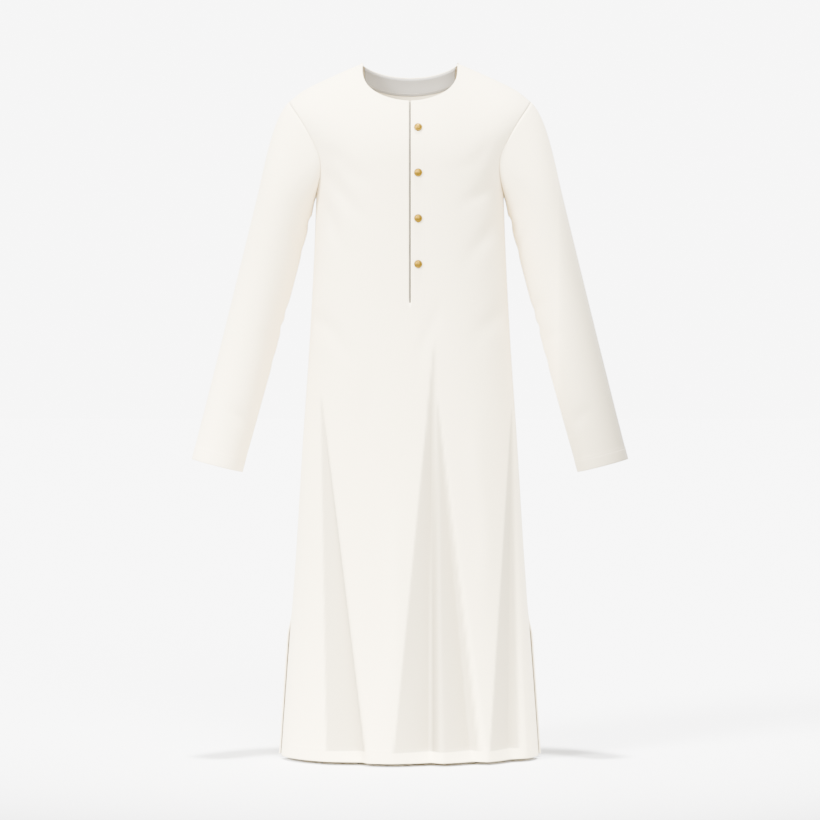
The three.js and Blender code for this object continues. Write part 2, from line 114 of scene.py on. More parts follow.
# Soft drag lines and hollows, each along a line from (x1, z1) to (x2, z2). A negative depth is a ridge.
DRAG_LINES = dict(
    front=[
        dict(x1=-0.150, z1=-0.190, x2=-0.078, z2=-0.262, width=0.011, depth=0.0032),
        dict(x1=-0.158, z1=-0.232, x2=-0.105, z2=-0.322, width=0.012, depth=0.0026),
        dict(x1=-0.140, z1=-0.160, x2=-0.070, z2=-0.205, width=0.013, depth=0.0020),
        dict(x1=0.152, z1=-0.188, x2=0.092, z2=-0.250, width=0.011, depth=0.0030),
        dict(x1=0.158, z1=-0.240, x2=0.098, z2=-0.345, width=0.013, depth=0.0028),
        dict(x1=0.132, z1=-0.150, x2=0.078, z2=-0.190, width=0.012, depth=0.0018),
        dict(x1=-0.163, z1=-0.430, x2=-0.095, z2=-0.500, width=0.014, depth=0.0022),
        dict(x1=0.165, z1=-0.400, x2=0.112, z2=-0.475, width=0.015, depth=0.0022),
        dict(x1=0.040, z1=-0.425, x2=0.015, z2=-0.520, width=0.012, depth=0.0018),
        dict(x1=-0.070, z1=-0.560, x2=-0.052, z2=-0.760, width=0.020, depth=0.0030),
        dict(x1=-0.020, z1=-0.820, x2=-0.034, z2=-1.120, width=0.016, depth=-0.0035),
        dict(x1=0.116, z1=-0.640, x2=0.123, z2=-0.900, width=0.017, depth=-0.0030),
    ],
    back=[
        dict(x1=-0.150, z1=-0.185, x2=-0.070, z2=-0.255, width=0.012, depth=0.0034),
        dict(x1=-0.156, z1=-0.235, x2=-0.096, z2=-0.330, width=0.013, depth=0.0028),
        dict(x1=0.151, z1=-0.182, x2=0.082, z2=-0.242, width=0.012, depth=0.0032),
        dict(x1=0.156, z1=-0.228, x2=0.108, z2=-0.318, width=0.012, depth=0.0026),
        dict(x1=-0.075, z1=-0.070, x2=0.075, z2=-0.076, width=0.016, depth=0.0020),
        dict(x1=-0.160, z1=-0.410, x2=-0.050, z2=-0.470, width=0.016, depth=0.0030),
        dict(x1=0.162, z1=-0.395, x2=0.060, z2=-0.450, width=0.015, depth=0.0028),
        dict(x1=0.080, z1=-0.480, x2=-0.010, z2=-0.510, width=0.017, depth=0.0022),
        dict(x1=-0.090, z1=-0.620, x2=-0.084, z2=-0.850, width=0.018, depth=-0.0030),
        dict(x1=0.050, z1=-0.700, x2=0.058, z2=-1.000, width=0.018, depth=-0.0032),
    ],
)


def clamp(value, low=0.0, high=1.0):
    return max(low, min(high, value))


def lerp(a, b, share):
    return a + (b - a) * share


def smooth(value, low, high):
    share = clamp((value - low) / (high - low))
    return share * share * (3 - 2 * share)


def curve_through(rows, along, value):
    """A smooth curve through a table's rows: its value column, as a function of its along column."""
    rows = sorted(rows, key=lambda row: row[along])
    last = len(rows) - 1

    def tangent(i):
        before, after = rows[max(0, i - 1)], rows[min(last, i + 1)]
        return (after[value] - before[value]) / (after[along] - before[along])

    tangents = [tangent(i) for i in range(last + 1)]

    def at(place):
        place = clamp(place, rows[0][along], rows[last][along])
        i = next((k for k in range(last) if rows[k + 1][along] >= place), last - 1)
        span = rows[i + 1][along] - rows[i][along]
        t = (place - rows[i][along]) / span
        return (
            (2 * t**3 - 3 * t**2 + 1) * rows[i][value]
            + (t**3 - 2 * t**2 + t) * span * tangents[i]
            + (3 * t**2 - 2 * t**3) * rows[i + 1][value]
            + (t**3 - t**2) * span * tangents[i + 1]
        )

    return at


torso_half = curve_through(TORSO, "z", "half")
torso_depth = dict(front=curve_through(TORSO, "z", "front"), back=curve_through(TORSO, "z", "back"))
squareness = curve_through(TORSO, "z", "squareness")
shoulder_line = curve_through(SHOULDER_LINE, "x", "z")
OUTWARD = dict(front=-1, back=1)


def section(z, share):
    """How far across a section is at a share of its depth, and the other way round."""
    square = squareness(z)
    return (1 - min(1, share) ** square) ** (1 / square)


def edge_share(side, z):
    """How far a panel's edge stands before or behind the side line, as a share of the torso's depth."""
    if z <= SLIT_TOP_Z:
        opened = (SLIT_TOP_Z - z) / (SLIT_TOP_Z - HEM_Z)
        return SLIT_SPREAD * opened**SLIT_CURVE / torso_depth[side](z)
    low = clamp(2 * (z - ARMPIT_Z) / (SHOULDER_Z - ARMPIT_Z))
    return ARMHOLE_SHARE * math.sqrt(1 - (1 - low) ** 2)


def closing_half(side, z):
    """Half of the width at which a panel's section closes. The back flares a little beside the slits."""
    flare = SLIT_FLARE * smooth(SLIT_TOP_Z - z, 0, SLIT_FLARE_RUN) if side == "back" else 0
    return torso_half(z) + flare


def panel_half(side, z):
    """How far out a panel's edge stands: at its side seam, its slit or its armhole."""
    return closing_half(side, z) * section(z, edge_share(side, z))


def armhole_half(side, height):
    """How far out the armhole's edge stands, at a height from the armpit (0) to the shoulder point (1)."""
    half = panel_half(side, lerp(ARMPIT_Z, SHOULDER_Z, height))
    return half * lerp(1, SHOULDER_HALF / panel_half(side, SHOULDER_Z), height)


def body_depth(side, x, z):
    """How far the smooth body stands before or behind the side line. It rolls over the shoulder seam."""
    roll = ROLL[side]
    reach = lerp(roll["at_neck"], roll["at_shoulder"], smooth(abs(x), NECK_HALF, SHOULDER_HALF))
    share = clamp((shoulder_line(abs(x)) - z) / reach)
    rolled = (1 - (1 - share) ** roll["rise"]) ** (1 / roll["root"])
    return torso_depth[side](z) * section(z, abs(x) / closing_half(side, z)) * rolled


def fold_depth(side, x, z):
    depth = 0
    for fold in FOLDS[side]:
        opened = (fold["tip_z"] - z) / (fold["tip_z"] - HEM_Z)
        if opened <= 0:
            continue
        valley = lerp(fold["tip_x"], fold["valley"], opened)
        edge = lerp(fold["tip_x"], fold["left" if x < valley else "right"], opened)
        share = clamp((x - edge) / (valley - edge))
        slope = share if fold["crease"] < ROUND_CREASE else math.sin(share * math.pi / 2)
        depth += fold["depth"] * opened * slope ** fold["crease"]
    return depth * lerp(HEM_HOLDS[side], 1, clamp((z - HEM_Z) / HEM_TURN))


# Painted shade: the colour of a fold's long flank is darkened by PAINTED_FOLD_SHADE, and RETURN_SHARE of its short
# flank by the fold's own shade. Both come in over the first SHADE_START of the fold's length, with edges softened
# by SHADE_EDGE to each side.
PAINTED_FOLD_SHADE, RETURN_SHARE = 0.54, 0.6
SHADE_START, SHADE_EDGE = 0.05, 0.002


def painted_fold_shade(side, x, z):
    """Painted shade: how much the cloth's colour is darkened in the folds. The flat hem below its stitching stays
    plain.
    """
    if z < HEM_Z + HEM_STITCH_UP:
        return 0
    light = 1
    for fold in FOLDS[side]:
        opened = (fold["tip_z"] - z) / (fold["tip_z"] - HEM_Z)
        if opened <= 0:
            continue
        left = lerp(fold["tip_x"], fold["left"], opened)
        valley = lerp(fold["tip_x"], fold["valley"], opened)
        right = lerp(fold["tip_x"], lerp(fold["valley"], fold["right"], RETURN_SHARE), opened)
        inside = smooth(x - left, -SHADE_EDGE, SHADE_EDGE) * smooth(right - x, -SHADE_EDGE, SHADE_EDGE)
        most = lerp(PAINTED_FOLD_SHADE, fold["shade"], smooth(x - valley, -SHADE_EDGE, SHADE_EDGE))
        light *= 1 - most * inside * smooth(opened, 0, SHADE_START)
    return 1 - light


# A drag line fades in over its start and out over its end, with a tail past each, and wanders to both sides of its
# line. DRAG_WANDER gives how far, as a share of the width, and how often. Near a panel's edge it flattens out.
DRAG_TAIL, DRAG_FULL, DRAG_EDGE = 0.35, (0.25, 0.45), 0.012
DRAG_WANDER = dict(share=0.35, turns=5, offset=40)


def drag_depth(side, x, z):
    depth = 0
    for line in DRAG_LINES[side]:
        run_x, run_z = line["x2"] - line["x1"], line["z2"] - line["z1"]
        length = math.hypot(run_x, run_z)
        along = ((x - line["x1"]) * run_x + (z - line["z1"]) * run_z) / length**2
        if not -DRAG_TAIL < along < 1 + DRAG_TAIL:
            continue
        off = ((x - line["x1"]) * run_z - (z - line["z1"]) * run_x) / length
        swing = math.sin(DRAG_WANDER["turns"] * along + DRAG_WANDER["offset"] * line["x1"])
        across = off / line["width"] + DRAG_WANDER["share"] * swing
        fade = smooth(along, -DRAG_TAIL, DRAG_FULL[0]) * (1 - smooth(along, DRAG_FULL[1], 1 + DRAG_TAIL))
        depth += line["depth"] * fade * math.exp(-across * across)
    return depth


def body_point(side, x, z):
    """A point of a panel's middle surface. Folds and drag lines push it inwards, square to the section."""
    step = 0.0005
    depth = body_depth(side, x, z)
    edge = smooth(panel_half(side, z) - abs(x), 0, DRAG_EDGE)
    inwards = fold_depth(side, x, z) + edge * drag_depth(side, x, z)
    across = min(abs(x), panel_half(side, z) - step)
    slope = (body_depth(side, across + step, z) - body_depth(side, across - step, z)) / (2 * step)
    length = math.hypot(slope, 1)
    inwards_x = -slope * math.copysign(1, x) / length * inwards
    return Vector((x - inwards_x, OUTWARD[side] * max(depth - inwards / length, SEAM_GAP / 2), z))


def body_normal(side, x, z):
    step = 0.001
    across = body_point(side, x + step, z) - body_point(side, x - step, z)
    up = body_point(side, x, z + step) - body_point(side, x, z - step)
    return across.cross(up).normalized() * -OUTWARD[side]


def top_edge(side, x):
    across = abs(x) / NECK_HALF
    if across >= 1:
        return shoulder_line(abs(x))
    neck = NECKLINE[side]
    return -neck["drop"] * (1 - across ** neck["bottom"]) ** (1 / neck["sides"])


def neck_x(side, drop_share):
    """Where across the neckline has dropped by a share of its depth."""
    neck = NECKLINE[side]
    return NECK_HALF * (1 - drop_share ** neck["sides"]) ** (1 / neck["bottom"])


def spaced(first, last, steps):
    """Evenly spaced numbers, with both ends."""
    return [lerp(first, last, k / steps) for k in range(steps + 1)]


# Half of a panel's columns: straight ones beside the opening, then fanning out to the edge. The fan's columns stand
# closer towards the edge: FAN gives how they spread across.
STRAIGHT_COLUMNS = dict(front=spaced(OPENING_HALF, OPENING_HALF + PLACKET_WIDTH, 8), back=[0])
NECK_COLUMNS, SHOULDER_COLUMNS, YOKE_ROWS = 22, 38, 34
FIRST_NECK_X = 0.002
FAN = dict(even=0.85, bent=0.15, power=0.9)
# Rows below the armpit: evenly spaced, clear of the rows at the opening's end and the slits' tops, and closer over
# the hem, round its row of stitches and its pressed edge.
ROW_PITCH, ROW_CLEAR, HEM_ROWS_START = 0.009, 0.004, 0.030
HEM_ROWS = (0.026, 0.0215, 0.0195, HEM_STITCH_UP, 0.0165, 0.0145, 0.008, 0.003, 0.0008, 0)


def half_columns(side):
    straight = STRAIGHT_COLUMNS[side]
    start = -top_edge(side, max(straight[-1], FIRST_NECK_X)) / NECKLINE[side]["drop"]
    neck = [neck_x(side, start * (1 - k / NECK_COLUMNS)) for k in range(1, NECK_COLUMNS + 1)]
    shoulder = [lerp(NECK_HALF, SHOULDER_HALF, k / SHOULDER_COLUMNS) for k in range(1, SHOULDER_COLUMNS + 1)]
    tops = straight + neck + shoulder
    fan = len(tops) - len(straight)
    columns = []
    for k, top in enumerate(tops):
        t = max(0, k - len(straight) + 1) / fan
        even = math.sin(math.pi / 2 * (FAN["even"] * t + FAN["bent"] * t**3)) ** FAN["power"]
        spread = (top - straight[-1]) / (SHOULDER_HALF - straight[-1])
        columns.append(dict(top=top, even=even, spread=spread, straight=k < len(straight)))
    return columns


def column_x(side, column, z, height):
    if column["straight"]:
        return column["top"]
    half = armhole_half(side, height) if height > 0 else panel_half(side, z)
    straight = STRAIGHT_COLUMNS[side][-1]
    return lerp(straight, half, lerp(column["even"], column["spread"], height))


def below_armpit():
    count = math.floor((ARMPIT_Z - HEM_Z - HEM_ROWS_START) / ROW_PITCH)
    heights = [ARMPIT_Z - ROW_PITCH * k for k in range(1, count + 1)]
    near = [OPENING_BOTTOM_Z, SLIT_TOP_Z]
    kept = [z for z in heights if all(abs(z - place) > ROW_CLEAR for place in near)]
    return sorted(kept + near + [HEM_Z + up for up in HEM_ROWS], reverse=True)


def panel_places(side):
    columns = half_columns(side)
    left = [(-1, column) for column in reversed(columns)]
    right = [(1, column) for column in columns]
    across = left + (right if side == "front" else right[1:])
    places = []
    for row in range(YOKE_ROWS + 1):
        height = (1 + math.cos(math.pi * row / YOKE_ROWS)) / 2
        line = []
        for sign, column in across:
            z = lerp(ARMPIT_Z, top_edge(side, column["top"]), height)
            line.append((sign * column_x(side, column, z, height), z))
        places.append(line)
    for z in below_armpit():
        places.append([(sign * column_x(side, column, z, 0), z) for sign, column in across])
    return places


SEAM_ALLOWANCE, SEAM_THICKNESS = 0.012, 0.0021
SLIT_TURN_UP = 0.01
# A row of stitches and a pressed edge are thinner than the turned cloth beside them: by how much, and how far.
STITCH_DENT, STITCH_DENT_REACH = 0.0007, 0.001
PRESSED_DENT, PRESSED_REACH = 0.0008, 0.0005


def panel_thickness(side, x, z):
    """The wall's thickness: doubled cloth at the hem and slits, seam allowances, and a thin folded edge."""
    hem = z < HEM_Z + HEM_TURN
    beside_edge = abs(x) > panel_half(side, z) - SEAM_ALLOWANCE
    slit = z < SLIT_TOP_Z + SLIT_TURN_UP and beside_edge
    thickness = TURNED_EDGE if hem or slit else CLOTH
    if beside_edge and SLIT_TOP_Z + SLIT_TURN_UP <= z < ARMPIT_Z - SEAM_ALLOWANCE:
        thickness = SEAM_THICKNESS
    if abs(z - HEM_Z - HEM_STITCH_UP) < STITCH_DENT_REACH:
        thickness -= STITCH_DENT
    if z < HEM_Z + PRESSED_REACH:
        thickness -= PRESSED_DENT
    return thickness


def object_from(bm, name, material):
    """The bmesh as an object of the scene, smooth all over, in one material."""
    mesh = bpy.data.meshes.new(name)
    bm.to_mesh(mesh)
    bm.free()
    for polygon in mesh.polygons:
        polygon.use_smooth = True
    mesh.materials.append(material)
    made = bpy.data.objects.new(name, mesh)
    bpy.context.scene.collection.objects.link(made)
    return made


MERGE_WITHIN = 0.00001


def grid_piece(name, material, rows, uvs, wall=TURNED_EDGE, close=False, keep=None, thickness=None, shade=None):
    """A sheet of cloth on a grid of points, with UVs in metres of cloth. close joins its two sides, keep(face)
    says which faces are cloth, thickness(r, c) thins its wall, and shade(r, c) gives the painted shade in its
    colour."""
    count_r, count_c = len(rows), len(rows[0])
    bm = bmesh.new()
    bmesh.ops.create_grid(bm, x_segments=count_c - 1, y_segments=count_r - 1, size=1)
    uv_layer = bm.loops.layers.uv.new("cloth")
    wall_layer = bm.verts.layers.deform.new("wall") if thickness else None
    shade_layer = bm.verts.layers.float.new("shade") if shade else None
    cells = {}
    for vert in bm.verts:
        c = round((vert.co.x + 1) / 2 * (count_c - 1))
        r = round((1 - vert.co.y) / 2 * (count_r - 1))
        cells[vert] = (r, c)
        vert.co = rows[r][c]
    for face in bm.faces:
        for loop in face.loops:
            r, c = cells[loop.vert]
            loop[uv_layer].uv = uvs[r][c]
    for vert in bm.verts:
        if thickness:
            vert[wall_layer][0] = thickness(*cells[vert]) / wall
        if shade:
            vert[shade_layer] = shade(*cells[vert])
    if keep:
        dropped = [face for face in bm.faces if not keep(face)]
        bmesh.ops.delete(bm, geom=dropped, context="FACES")
    if close:
        bmesh.ops.remove_doubles(bm, verts=bm.verts, dist=MERGE_WITHIN)
    piece = object_from(bm, name, material)
    if thickness:
        piece.vertex_groups.new(name="wall")
    solidify = piece.modifiers.new("wall", "SOLIDIFY")
    solidify.thickness = wall
    solidify.offset = 0
    solidify.use_even_offset = True
    if thickness:
        solidify.vertex_group = "wall"
    return piece


def cloth_lengths(rows, middle_row):
    """UVs in metres: u along each row from its middle, v along each column from the row that is given."""
    count = len(rows[0])
    centre = (count - 1) / 2
    across = []
    for row in rows:
        run = [0.0]
        for a, b in zip(row, row[1:]):
            run.append(run[-1] + (b - a).length)
        middle = (run[math.floor(centre)] + run[math.ceil(centre)]) / 2
        across.append([value - middle for value in run])
    down = [[0.0] * count for _ in rows]
    for r in range(1, len(rows)):
        for c in range(count):
            down[r][c] = down[r - 1][c] + (rows[r][c] - rows[r - 1][c]).length
    zero = down[middle_row]
    return [[(across[r][c], zero[c] - down[r][c]) for c in range(count)] for r in range(len(rows))]


def flat_size(uvs):
    """The smallest rectangle of flat cloth round a piece, in metres."""
    u = [uv[0] for row in uvs for uv in row]
    v = [uv[1] for row in uvs for uv in row]
    return max(u) - min(u), max(v) - min(v)


def flat_area(rows):
    total = 0
    for upper, lower in zip(rows, rows[1:]):
        for a, b, c, d in zip(upper, upper[1:], lower[1:], lower):
            total += ((c - a).cross(d - b)).length / 2
    return total


# How much darker and paler the slubs make the cotton, how fine they are across and along a thread, how deep the
# weave stands, and how dark the painted shade makes the cloth at its fullest.
SLUB_DARKER, SLUB_PALER = 0.035, 0.014
SLUB_ACROSS, SLUB_ALONG = 1900, 60
WEAVE_DEPTH = 0.00012
PAINTED_SHADE_COLOUR = 0.3


def cotton_finish(name, colour):
    """Plain-woven cotton: crossed threads 1 mm apart that thicken here and there, matt, with a soft bloom. Where
    the piece has a shade attribute, painted shade darkens the cloth's colour by it."""
    material = bpy.data.materials.new(name)
    material.use_nodes = True
    nodes, links = material.node_tree.nodes, material.node_tree.links
    shader = nodes["Principled BSDF"]
    shader.inputs["Roughness"].default_value = 0.88
    shader.inputs["Specular IOR Level"].default_value = 0.25
    shader.inputs["Sheen Weight"].default_value = 0.12
    shader.inputs["Sheen Roughness"].default_value = 0.5
    place = nodes.new("ShaderNodeUVMap")
    place.uv_map = "cloth"
    threads = []
    for direction, scale in (("X", (SLUB_ACROSS, SLUB_ALONG, 1)), ("Y", (SLUB_ALONG, SLUB_ACROSS, 1))):
        wave = nodes.new("ShaderNodeTexWave")
        wave.bands_direction = direction
        wave.inputs["Scale"].default_value = 320
        wave.inputs["Distortion"].default_value = 1.2
        wave.inputs["Detail"].default_value = 1
        wave.inputs["Detail Scale"].default_value = 0.6
        links.new(place.outputs["UV"], wave.inputs["Vector"])
        stretch = nodes.new("ShaderNodeMapping")
        stretch.inputs["Scale"].default_value = scale
        links.new(place.outputs["UV"], stretch.inputs["Vector"])
        slubs = nodes.new("ShaderNodeTexNoise")
        slubs.inputs["Scale"].default_value = 1
        slubs.inputs["Detail"].default_value = 2
        links.new(stretch.outputs["Vector"], slubs.inputs["Vector"])
        threads.append((wave, slubs))
    weave = nodes.new("ShaderNodeMath")
    weave.operation = "MULTIPLY"
    links.new(threads[0][0].outputs["Fac"], weave.inputs[0])
    links.new(threads[1][0].outputs["Fac"], weave.inputs[1])
    slub_sum = nodes.new("ShaderNodeMath")
    slub_sum.operation = "ADD"
    links.new(threads[0][1].outputs["Fac"], slub_sum.inputs[0])
    links.new(threads[1][1].outputs["Fac"], slub_sum.inputs[1])
    height = nodes.new("ShaderNodeMath")
    height.operation = "MULTIPLY_ADD"
    height.inputs[1].default_value = 0.6
    links.new(slub_sum.outputs[0], height.inputs[0])
    links.new(weave.outputs[0], height.inputs[2])
    bump = nodes.new("ShaderNodeBump")
    bump.inputs["Strength"].default_value = 0.55
    bump.inputs["Distance"].default_value = WEAVE_DEPTH
    links.new(height.outputs[0], bump.inputs["Height"])
    links.new(bump.outputs["Normal"], shader.inputs["Normal"])
    tone = nodes.new("ShaderNodeMapRange")
    tone.inputs["From Min"].default_value = 0.7
    tone.inputs["From Max"].default_value = 1.3
    links.new(slub_sum.outputs[0], tone.inputs["Value"])
    shade = nodes.new("ShaderNodeMix")
    shade.data_type = "RGBA"
    shade.inputs["A"].default_value = (*[channel * (1 - SLUB_DARKER) for channel in colour], 1)
    shade.inputs["B"].default_value = (*[channel * (1 + SLUB_PALER) for channel in colour], 1)
    links.new(tone.outputs["Result"], shade.inputs["Factor"])
    # Painted shade: the piece's shade attribute mixes the colour towards a dark copy of it.
    painted_shade_input = nodes.new("ShaderNodeAttribute")
    painted_shade_input.attribute_name = "shade"
    shaded = nodes.new("ShaderNodeMix")
    shaded.data_type = "RGBA"
    shaded.inputs["B"].default_value = (*[channel * PAINTED_SHADE_COLOUR for channel in colour], 1)
    links.new(shade.outputs["Result"], shaded.inputs["A"])
    links.new(painted_shade_input.outputs["Fac"], shaded.inputs["Factor"])
    links.new(shaded.outputs["Result"], shader.inputs["Base Color"])
    return material


def beside_opening(face):
    """Whether a face of the front is cloth, and not in the slot between the opening's edges."""
    centre = face.calc_center_median()
    return centre.z <= OPENING_BOTTOM_Z or abs(centre.x) > OPENING_HALF


white_cotton = cotton_finish("white cotton", (0.87, 0.757, 0.53))

for side in ("front", "back"):
    places = panel_places(side)
    rows = [[body_point(side, x, z) for x, z in line] for line in places]
    if side == "back":
        rows = [list(reversed(row)) for row in rows]
        places = [list(reversed(line)) for line in places]
    uvs = cloth_lengths(rows, YOKE_ROWS)
    piece = grid_piece(
        side + "_cloth", white_cotton, rows, uvs,
        keep=beside_opening if side == "front" else None,
        thickness=lambda r, c: panel_thickness(side, *places[r][c]),
        shade=lambda r, c: painted_fold_shade(side, *places[r][c]),
    )
    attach(piece, "root")
    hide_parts(side + "_panel")
    width, length = flat_size(uvs)
    round(flat_area(rows), 3)


# ------------------------------------------------------------------- sleeves
# Each long sleeve is one piece of the same cotton, set into the armhole with a curved cap and closed by a seam
# under the arm. It hangs a little away from the body and swings forward at the cuff, whose edge is turned in.
SLEEVE_LEAN = math.radians(14.6)
UNDERARM = 0.038
CUFF_X, CUFF_Z = 0.3256, -0.6817
CUFF_TURN = 0.020
ARMHOLE_GAP = 0.0003
NEARLY = 1e-6
SLEEVE = [
    dict(share=0, y=0.001, half=0.0482, depth=0.058),
    dict(share=0.3, y=0.005, half=0.0472, depth=0.054),
    dict(share=0.55, y=0, half=0.046, depth=0.051),
    dict(share=0.8, y=-0.016, half=0.0445, depth=0.046),
    dict(share=1, y=-0.034, half=0.0432, depth=0.042),
]
# Creases round the arm: the share of the sleeve's length, the angle round it, how they run, and their depth.
SLEEVE_CREASES = [
    dict(share=0.02, turn=3.05, slant=0.30, reach=0.9, width=0.010, depth=0.0030),
    dict(share=0.10, turn=2.60, slant=0.55, reach=0.8, width=0.011, depth=0.0026),
    dict(share=0.10, turn=3.75, slant=-0.50, reach=0.8, width=0.011, depth=0.0028),
    dict(share=0.36, turn=3.45, slant=-0.22, reach=1.0, width=0.010, depth=0.0030),
    dict(share=0.43, turn=2.95, slant=0.18, reach=1.1, width=0.009, depth=0.0034),
    dict(share=0.48, turn=3.70, slant=-0.10, reach=0.9, width=0.010, depth=0.0028),
    dict(share=0.55, turn=2.70, slant=0.24, reach=0.8, width=0.011, depth=0.0024),
    dict(share=0.80, turn=4.30, slant=-0.35, reach=0.7, width=0.011, depth=0.0022),
    dict(share=0.88, turn=2.10, slant=0.30, reach=0.8, width=0.010, depth=0.0020),
]
CREASE_ROUND, CREASE_FADE, CREASES_END = 0.048, 1.5, (0.93, 0.97)
# The cap runs from the armhole to the arm on curves: how far they keep their first and last direction, as shares of
# the straight way, at the top and under the arm. Under the arm the cap tucks in below the armhole's edge.
CAP_LEAVES, CAP_ARRIVES, CAP_TUCK = (0.23, 0.33), (0.4, 0.33), (0.5, 0.9)
TURN_STEP, SHARE_STEP = 0.05, 0.05
# Rows over the turned cuff edge, in turns of it: closer round its row of stitches and its pressed edge.
CUFF_STITCH, CUFF_DENT_REACH, CUFF_PRESSED_REACH = 0.9, 0.03, 0.02
CUFF_ROWS_START = 1.3
CUFF_ROWS = (1.08, 0.98, CUFF_STITCH, 0.82, 0.7, 0.4, 0.15, 0.04, 0)
SLEEVE_TURNS, CAP_ROWS, ARM_ROWS = 96, 26, 62

lean = Vector((math.sin(SLEEVE_LEAN), 0, -math.cos(SLEEVE_LEAN)))
across_arm = Vector((-lean.z, 0, lean.x))
arm_swing, arm_half, arm_depth = (curve_through(SLEEVE, "share", key) for key in ("y", "half", "depth"))
arm_start = Vector((ARMPIT_HALF, 0, ARMPIT_Z)) + UNDERARM * lean + arm_half(0) * across_arm
arm_end = Vector((CUFF_X, 0, CUFF_Z))
arm_length = (arm_end - arm_start).length


def arm_outwards(turn):
    return (across_arm * math.cos(turn) + Vector((0, math.sin(turn), 0))).normalized()


def arm_point(share, turn):
    """A point of the sleeve below the cap: turn goes from the outer side over the back to the inner side."""
    centre = arm_start.lerp(arm_end, share)
    centre.y = arm_swing(share)
    return (centre + across_arm * arm_half(share) * math.cos(turn)
            + Vector((0, arm_depth(share) * math.sin(turn), 0)))


def armhole_point(turn):
    """A point of the left armhole's edge: from the shoulder point down the back, and up the front."""
    side = "back" if turn <= math.pi else "front"
    height = (1 + math.cos(turn)) / 2
    z = lerp(ARMPIT_Z, SHOULDER_Z, height)
    point = body_point(side, armhole_half(side, height), z)
    if abs(math.sin(turn)) < NEARLY:
        point.y = 0
    return point, side, z


def armhole_normal(turn, point, side, z):
    """Out of the cloth at the armhole's edge: up at the shoulder point, and sideways under the arm."""
    step = 0.001
    if abs(math.cos(turn) - 1) < NEARLY:
        slope = (shoulder_line(point.x - step) - shoulder_line(point.x + step)) / (2 * step)
        return Vector((slope, 0, 1)).normalized()
    if abs(turn - math.pi) < NEARLY:
        return Vector((1, 0, 0))
    return body_normal(side, point.x, z)


def sleeve_crease(share, turn):
    depth = 0
    for crease in SLEEVE_CREASES:
        off_turn = (turn - crease["turn"] + math.pi) % (2 * math.pi) - math.pi
        if abs(off_turn) > crease["reach"]:
            continue
        off = (share - crease["share"]) * arm_length - off_turn * crease["slant"] * CREASE_ROUND
        fade = math.cos(off_turn / crease["reach"] * math.pi / 2) ** CREASE_FADE
        depth += crease["depth"] * fade * math.exp(-((off / crease["width"]) ** 2))
    return depth


def sleeve_rows():
    """The left sleeve's rows of points, from the armhole down, and the shares of the arm's length below the cap."""
    turns = spaced(0, 2 * math.pi, SLEEVE_TURNS)
    cap = []
    for turn in turns:
        point, side, z = armhole_point(turn)
        before, after = (armhole_point((turn + step) % (2 * math.pi))[0] for step in (-TURN_STEP, TURN_STEP))
        normal = armhole_normal(turn, point, side, z)
        outwards = (after - before).cross(normal).normalized()
        low = (1 - math.cos(turn)) / 2
        start = point + outwards * ARMHOLE_GAP + normal * (CLOTH + SEAM_GAP) * smooth(low, *CAP_TUCK)
        end = arm_point(0, turn)
        chord = (end - start).length
        leave = lerp(math.pi / 4, SLEEVE_LEAN, low)
        first = start + Vector((math.sin(leave), 0, -math.cos(leave))) * chord * lerp(*CAP_LEAVES, low)
        arrive = (arm_point(SHARE_STEP, turn) - end).normalized()
        second = end - arrive * chord * lerp(*CAP_ARRIVES, low)
        cap.append((start, first, second, end))
    rows = []
    for r in range(CAP_ROWS):
        t = r / CAP_ROWS
        rows.append([
            start * (1 - t) ** 3 + first * 3 * t * (1 - t) ** 2 + second * 3 * t * t * (1 - t) + end * t**3
            for start, first, second, end in cap
        ])
    cuff = CUFF_TURN / arm_length
    shares = spaced(0, 1 - CUFF_ROWS_START * cuff, ARM_ROWS) + [1 - cuff * up for up in CUFF_ROWS]
    for share in shares:
        fade = 1 - smooth(share, *CREASES_END)
        rows.append([arm_point(share, turn) - arm_outwards(turn) * sleeve_crease(share, turn) * fade
                     for turn in turns])
    return rows, shares


left_rows, arm_shares = sleeve_rows()


def sleeve_thickness(r, c):
    """The wall's thickness: doubled cloth at the turned cuff edge."""
    if r < CAP_ROWS:
        return CLOTH
    up = (1 - arm_shares[r - CAP_ROWS]) * arm_length / CUFF_TURN
    thickness = TURNED_EDGE if up < 1 else CLOTH
    if abs(up - CUFF_STITCH) < CUFF_DENT_REACH:
        thickness -= STITCH_DENT
    if up < CUFF_PRESSED_REACH:
        thickness -= PRESSED_DENT
    return thickness


# Painted shade on the wearer's left sleeve: its colour darkens across from starts to ends, as light from the left
# would.
PAINTED_SLEEVE_SHADE = dict(starts=0.250, ends=0.357)


def painted_sleeve_shade(r, c):
    """Painted shade: the colour of the lower sleeve on the wearer's left darkens outwards, as if in soft shade."""
    out = (left_rows[r][c].x - PAINTED_SLEEVE_SHADE["starts"]) / (PAINTED_SLEEVE_SHADE["ends"] - PAINTED_SLEEVE_SHADE["starts"])
    return math.sqrt(clamp(out))


for hand, sign in (("left", 1), ("right", -1)):
    rows = [[Vector((sign * point.x, point.y, point.z)) for point in row] for row in left_rows]
    if sign < 0:
        rows = [list(reversed(row)) for row in rows]
    uvs = cloth_lengths(rows, CAP_ROWS)
    piece = grid_piece(hand + "_sleeve_cloth", white_cotton, rows, uvs, close=True, thickness=sleeve_thickness,
                       shade=painted_sleeve_shade if hand == "left" else None)
    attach(piece, "root")
    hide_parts(hand + "_sleeve")
    width, length = flat_size(uvs)
    round(flat_area(rows), 3)


